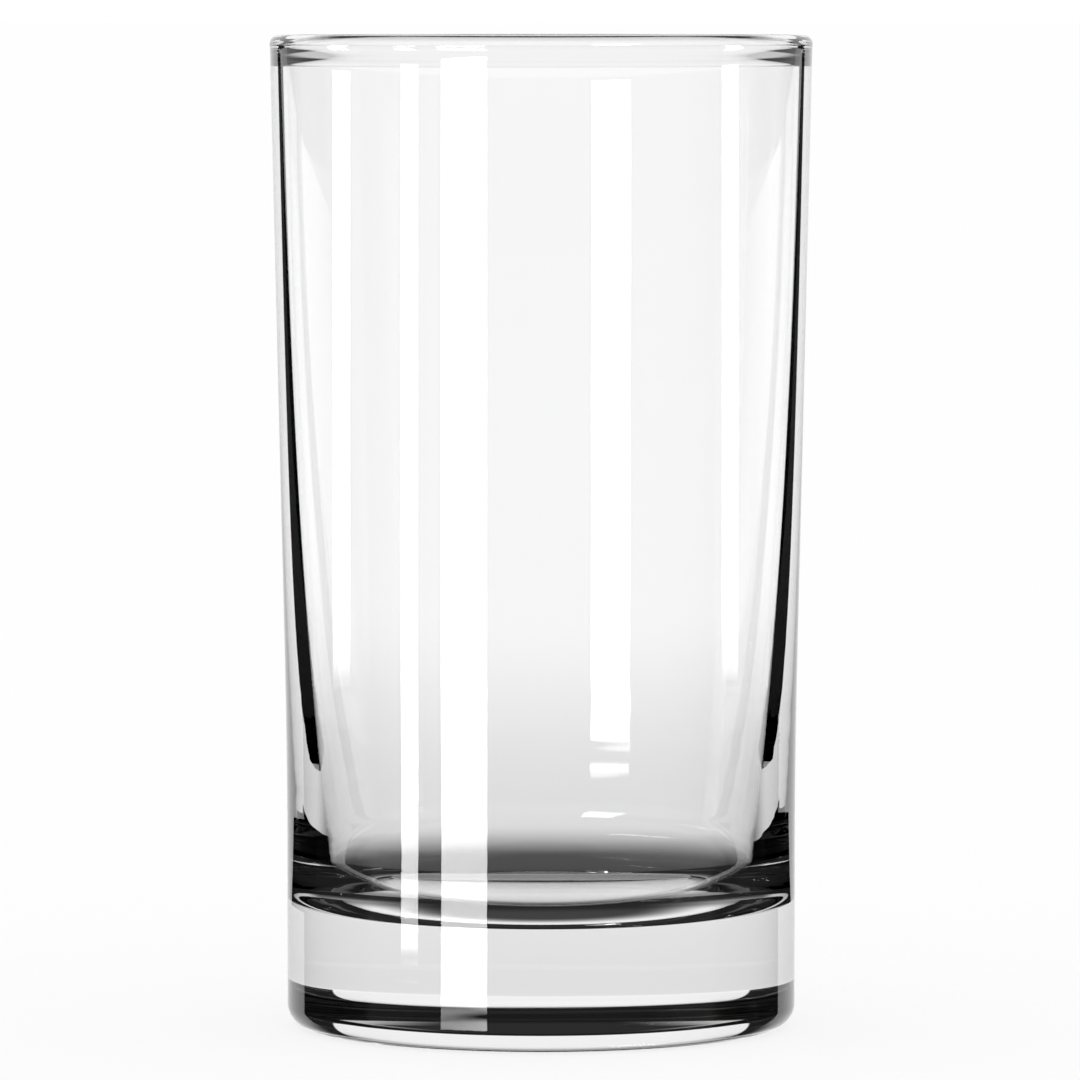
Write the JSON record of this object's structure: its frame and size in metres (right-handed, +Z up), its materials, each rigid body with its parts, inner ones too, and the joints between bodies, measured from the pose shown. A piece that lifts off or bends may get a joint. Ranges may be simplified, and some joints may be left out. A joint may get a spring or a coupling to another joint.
{
  "type": "highball glass",
  "caption": "Tall clear drinking glass for long drinks: thin wall leaning slightly outwards, beaded lip, rounded cavity floor and a heavy solid base.",
  "frame": {"origin": "on the glass's axis, at the level of the ring it stands on", "axes": "+Z up along the glass's axis to the lip; -Y towards the viewer of the picture; +X to the right"},
  "size_m": [0.067, 0.067, 0.1225],
  "materials": {
    "clear_glass": "fire-polished"
  },
  "bodies": {
    "root": {"tumbler": "clear_glass"}
  },
  "joints": []
}
